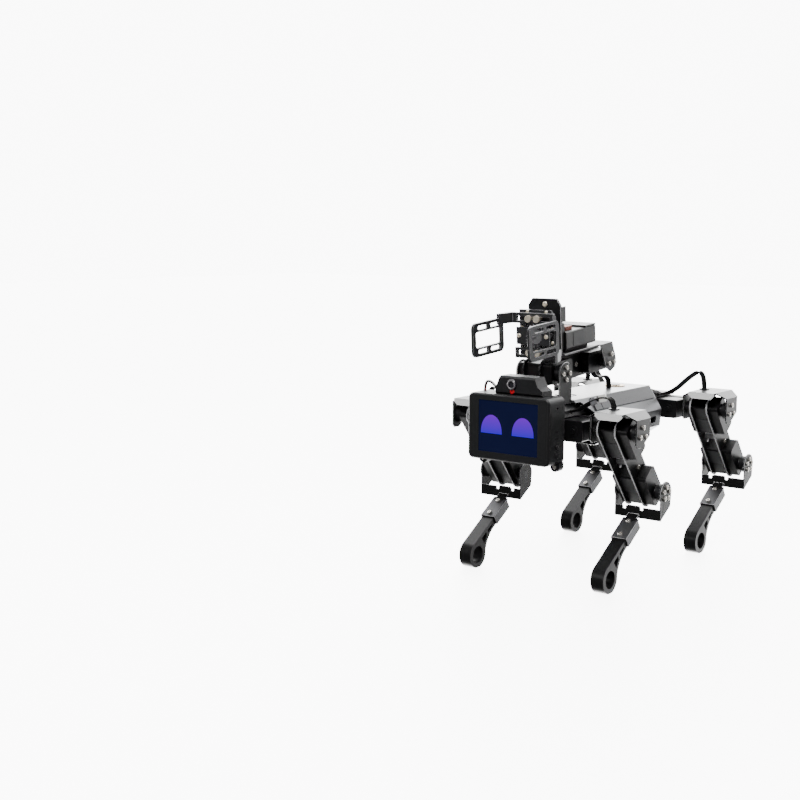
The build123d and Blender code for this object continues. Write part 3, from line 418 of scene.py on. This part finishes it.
def add_lathe(bm, profile, place, steps=20, index=0, hollow=False):
    """Turns a profile of (radius, height) about the Z axis of a matrix; hollow leaves a ring."""
    rings = []
    for radius, height in profile:
        ring = []
        for i in range(steps):
            a = 2 * math.pi * i / steps
            ring.append(bm.verts.new(place @ Vector((radius * math.cos(a), radius * math.sin(a), height))))
        rings.append(ring)
    for low, high in zip(rings, rings[1:] + (rings[:1] if hollow else [])):
        for i in range(steps):
            face = bm.faces.new((low[i], low[(i + 1) % steps], high[(i + 1) % steps], high[i]))
            face.material_index = index
    if hollow:
        return
    for ring, flip in ((rings[0], True), (rings[-1], False)):
        face = bm.faces.new(reversed(ring) if flip else ring)
        face.material_index = index


EYE_STEPS = 32
EYE_BASE, EYE_TOP = 0.64, 0.28      # down the display, as shares of its height
EYE_ROUND = 0.92
EYES = (("right_eye", 0.04, 0.40), ("left_eye", 0.57, 0.935))


def screw_profile(r, h):
    """Pan head with a drive recess."""
    return [(r, 0), (r, 0.55 * h), (0.8 * r, 0.92 * h), (0.55 * r, h), (0.42 * r, h), (0.36 * r, 0.4 * h),
            (0.05 * r, 0.35 * h)]


def facing_matrix(point, axis):
    """Frame at a point with its Z axis along a direction."""
    return Matrix.Translation(point) @ Vector(axis).to_track_quat("Z", "Y").to_matrix().to_4x4()


def screws(name, spots, radius, height, mat, body):
    """Several screw heads in one piece; spots are (point, direction)."""
    bm = bmesh.new()
    for point, axis in spots:
        profile = [(r * MM, z * MM) for r, z in screw_profile(radius, height)]
        add_lathe(bm, profile, facing_matrix(point, axis))
    return piece(name, bm, [mat], body)


def add_slab(bm, place, size, bevel=0.15, index=0):
    """A box with broken edges, centred on a matrix, size in millimetres."""
    part = bmesh.new()
    bmesh.ops.create_cube(part, size=1)
    for v in part.verts:
        v.co = Vector([c * s * MM for c, s in zip(v.co, size)])
    if bevel:
        bmesh.ops.bevel(part, geom=part.edges[:], offset=bevel * MM, segments=2, affect="EDGES",
                        profile=0.6)
    made = [bm.verts.new(place @ v.co) for v in part.verts]
    part.verts.index_update()
    for face in part.faces:
        new = bm.faces.new([made[v.index] for v in face.verts])
        new.material_index = index
    part.free()


def link_frame(joint, tilt):
    """Frame of a servo link: origin on its axis, Z back along the link, tilted about Y."""
    return Matrix.Translation(Vector(JOINTS[joint]["pos_m"])) @ Matrix.Rotation(math.radians(tilt), 4, "Y")


LABEL_SIZE = (0.22, 9.4, 12.0)
LABEL_X, LABEL_Y = 6.1, -0.75
LABEL_DROP = 10.4           # along the link, from the joint axis to the middle of a label
SEAM_DROP = 5.6
SEAM_SIZE = (0.3, 23.3)
SEAM_PLACES = ((-9.0, 12.14), (5.7, 13.06))     # across the servo, and the depth of the case there


def servo_labels():
    """Plain labels on the front faces of the two servos in each thigh, and the seams of their cases."""
    for leg, side in SIDES.items():
        hip, knee = (Vector(JOINTS[leg + j]["pos_m"]) for j in ("_pitch", "_knee"))
        tilt = math.degrees(math.atan2(hip.x - knee.x, hip.z - knee.z))
        length = (hip - knee).length / MM
        base = link_frame(leg + "_pitch", tilt)
        bm = bmesh.new()
        for z in (-LABEL_DROP, -length + LABEL_DROP):
            place = base @ Matrix.Translation(Vector((LABEL_X, LABEL_Y * side, z)) * MM)
            add_slab(bm, place, LABEL_SIZE, 0.05)
        piece(leg + "_servo_labels", bm, ["label_grey"], leg + "_thigh")
        bm = bmesh.new()
        for y, depth in SEAM_PLACES:
            for z in (-SEAM_DROP, -length + SEAM_DROP):
                place = base @ Matrix.Translation(Vector((0, y * side, z)) * MM)
                add_slab(bm, place, (depth, *SEAM_SIZE), 0)
        piece(leg + "_servo_seams", bm, ["seam"], leg + "_thigh")


def eyes():
    """The two domes on the display."""
    low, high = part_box("screen")
    width, height = high.y - low.y, high.z - low.z
    x = high.x + 0.02 * MM
    for name, left, right in EYES:
        bm = bmesh.new()
        y0, y1 = low.y + width * left, low.y + width * right
        base, top = high.z - height * EYE_BASE, high.z - height * EYE_TOP
        front = []
        for i in range(EYE_STEPS + 1):
            a = math.pi * i / EYE_STEPS
            y = (y0 + y1) / 2 - math.cos(a) * (y1 - y0) / 2
            front.append(bm.verts.new((x, y, base + (top - base) * math.sin(a) ** EYE_ROUND)))
        face = bm.faces.new(front)
        solid = bmesh.ops.extrude_face_region(bm, geom=[face])
        for v in [g for g in solid["geom"] if isinstance(g, bmesh.types.BMVert)]:
            v.co.x += 0.05 * MM
        bmesh.ops.recalc_face_normals(bm, faces=bm.faces)
        piece(name, bm, ["eye_glow"], "body")


def camera_details():
    """Bright ring round the lens and the red mark under it."""
    low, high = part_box("camera_lens")
    middle = (low + high) / 2
    front = high.x - 0.2 * MM
    bm = bmesh.new()
    ring = [(1.9, 0), (2.75, 0), (2.75, 0.35), (2.5, 0.5), (2.0, 0.35)]
    place = facing_matrix((front, middle.y, middle.z), (1, 0, 0))
    add_lathe(bm, [(r * MM, z * MM) for r, z in ring], place, 32, hollow=True)
    piece("lens_ring", bm, ["lens_ring"], "body")
    bm = bmesh.new()
    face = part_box("camera_cover")[1].x
    place = facing_matrix((face - 0.1 * MM, middle.y + 0.2 * MM, middle.z - 4.0 * MM), (1, 0, 0))
    add_lathe(bm, [(1.5 * MM, 0), (1.5 * MM, 0.3 * MM), (1.2 * MM, 0.4 * MM)], place, 20)
    piece("lens_mark", bm, ["lens_red"], "body")


def head_details():
    """Screws in the lugs, and the ports in the left side of the head."""
    low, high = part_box("head_housing")
    spots = []
    for y in (-25.0, 25.0):
        spots.append((Vector((low.x + 5 * MM, y * MM, low.z + 3.0 * MM)), (1, 0, 0)))
    screws("lug_screws", spots, 1.3, 0.7, "screw_steel", "body")
    bm = bmesh.new()
    side = high.y
    for x, z, w, h in ((0.5, 92.5, 3.0, 1.2), (0.5, 96.5, 3.0, 1.2), (0.5, 78.9, 2.6, 1.0)):
        place = Matrix.Translation(Vector((low.x + (7.7 + x) * MM, side, z * MM)))
        add_slab(bm, place, (w, 0.12, h), 0.03)
    piece("head_ports", bm, ["seam"], "body")


# ---------------------------------------------------------------- gripper
def gripper_frame_matrix():
    """Frame of the gripper: origin on the pinion axis at the back of the racks, X along the axis."""
    joint = JOINTS["gripper_pinion_spin"]
    x = Vector(joint["axis"]).normalized()
    z = x.cross(Vector((0, 1, 0)))
    turn = Matrix((x, Vector((0, 1, 0)), z)).transposed().to_4x4()
    return Matrix.Translation(Vector(joint["pos_m"])) @ turn


def gripper_details():
    """Small cream screws of the base plate, labels and connectors of the gripper servo."""
    base = gripper_frame_matrix()
    ahead = base.to_3x3() @ Vector((1, 0, 0))
    spots = [(base @ (Vector((-1.6, y, z)) * MM), ahead)
             for y, z in ((-10.0, 4.2), (-10.0, -4.2), (10.4, 4.2), (10.4, -4.2), (-7.0, 0.4), (-7.2, -13),
                          (7.2, -13), (-6.5, 13.8), (6.5, 13.8))]
    screws("base_plate_screws", spots, 1.05, 0.6, "screw_cream", "forearm")
    spots = [(base @ (Vector((3.6, y, z)) * MM), ahead) for y, z in ((-9.4, 0), (9.4, 0))]
    screws("cover_screws", spots, 1.35, 0.8, "screw_cream", "forearm")
    spots = [(base @ (Vector((-9.5, 1, 17.5)) * MM), ahead)]
    screws("frame_screw", spots, 1.6, 0.9, "screw_cream", "forearm")
    bm = bmesh.new()
    add_slab(bm, base @ Matrix.Translation(Vector((-30, 11.65, -4.9)) * MM), (13, 0.2, 8), 0.05)
    add_slab(bm, base @ Matrix.Translation(Vector((-30, -11.65, -4.9)) * MM), (13, 0.2, 8), 0.05)
    piece("gripper_servo_labels", bm, ["label_grey"], "forearm")
    bm = bmesh.new()
    for i in range(3):
        add_slab(bm, base @ Matrix.Translation(Vector((-27 + 2.6 * i, 5.5, 1.5)) * MM), (2.2, 5, 2.4), 0.2)
    piece("gripper_connectors", bm, ["connector_rust"], "forearm")


servo_labels()
eyes()
camera_details()
head_details()
gripper_details()


# ---------------------------------------------------------------- cables
def smooth_route(points):
    """Points along the NURBS spline whose control points are the route."""
    curve = bpy.data.curves.new("route", "CURVE")
    curve.dimensions = "3D"
    curve.resolution_u = 10
    spline = curve.splines.new("NURBS")
    spline.points.add(len(points) - 1)
    for control, point in zip(spline.points, points):
        control.co = (*point, 1)
    spline.order_u = 3
    spline.use_endpoint_u = True
    obj = bpy.data.objects.new("route", curve)
    bpy.context.scene.collection.objects.link(obj)
    bpy.context.view_layer.update()
    mesh = bpy.data.meshes.new_from_object(obj.evaluated_get(bpy.context.evaluated_depsgraph_get()))
    line = [v.co.copy() for v in mesh.vertices]
    bpy.data.objects.remove(obj)
    bpy.data.meshes.remove(mesh)
    return line


def add_strand(bm, line, sideways, offset, radius, index, sides=10):
    """A tube beside a line: offset sets it off along the sideways direction and the one across it."""
    rings = []
    for i, point in enumerate(line):
        ahead = (line[min(i + 1, len(line) - 1)] - line[max(i - 1, 0)]).normalized()
        across = ahead.cross(sideways).normalized()
        level = across.cross(ahead).normalized()
        centre = point + level * offset[0] * MM + across * offset[1] * MM
        ring = []
        for k in range(sides):
            a = 2 * math.pi * k / sides
            ring.append(bm.verts.new(centre + (level * math.cos(a) + across * math.sin(a)) * radius * MM))
        rings.append(ring)
    for low, high in zip(rings, rings[1:]):
        for k in range(sides):
            face = bm.faces.new((low[k], low[(k + 1) % sides], high[(k + 1) % sides], high[k]))
            face.material_index = index
            face.smooth = True
    bm.faces.new(reversed(rings[0])).material_index = index
    bm.faces.new(rings[-1]).material_index = index


REAR_CABLE = [(-54.0, 13, 102.6), (-54.4, 19.4, 102.8), (-57, 27, 106), (-60.6, 34, 114),
              (-64.2, 40.6, 119.5), (-65, 44, 114.5), (-65, 44, 105)]
FRONT_CABLE = [(59.0, 13, 103.2), (59.4, 19.4, 103.6), (58.6, 27.5, 109), (57.5, 36.5, 113.6),
               (57, 44, 113.2), (57, 44, 105)]
ARM_CABLE = [(7, 0, 127.5), (7, 0.2, 121.3), (1.4, 0.8, 117.6), (-5.6, 1.6, 118.6),
             (-10.6, 2.2, 116.2), (-11.2, 2.4, 111.2), (-11.2, 2.4, 102.6)]
CAMERA_CABLE = [(93, -9, 118.5), (93, -14.6, 118.7), (92.4, -19.4, 122.6), (91.5, -24.2, 121.4),
                (91.5, -24.2, 114.0)]
RIBBON = ((-1.1, 0), (0, 0), (1.1, 0))    # three wires side by side
RIBBON_ACROSS = Vector((0.62, -0.78, 0))
RIBBON_WIRE, CAMERA_WIRE = 0.56, 0.42     # radii
BUNDLE = ((-0.45, -0.3), (0.45, -0.3), (0, 0.45))


def servo_ribbon(name, route, side, connector=False):
    """Ribbon of three black wires between the body and a moving part."""
    points = [at(x, y * side, z) for x, y, z in route]
    line = smooth_route(points)
    bm = bmesh.new()
    for offset in RIBBON:
        add_strand(bm, line, RIBBON_ACROSS, offset, RIBBON_WIRE, 0)
    if connector:
        for share, index, size in ((0.62, 1, (4.2, 4.4, 2.6)), (0.47, 2, (4.0, 4.4, 2.6))):
            i = int(len(line) * share)
            place = facing_matrix(line[i], line[i + 1] - line[i - 1])
            add_slab(bm, place @ Matrix.Rotation(math.pi / 2, 4, "Y"), size, 0.3, index)
    obj = piece(name, bm, ["cable", "wire_white", "connector_grey"], None)
    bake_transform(obj)
    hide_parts("servo_cables")


def cables():
    """Every cable that the robot holds at both ends."""
    for leg, side in SIDES.items():
        front = leg.startswith("front")
        servo_ribbon(leg + "_cable", FRONT_CABLE if front else REAR_CABLE, side, front)
    servo_ribbon("arm_cable", list(reversed(ARM_CABLE)), 1)
    line = smooth_route([at(*p) for p in CAMERA_CABLE])
    bm = bmesh.new()
    for index, offset in enumerate(BUNDLE):
        add_strand(bm, line, Vector((1, 0, 0)), offset, CAMERA_WIRE, index)
    obj = piece("camera_wires", bm, ["wire_red", "cable", "wire_white"], "body")
    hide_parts("camera_cable")


cables()
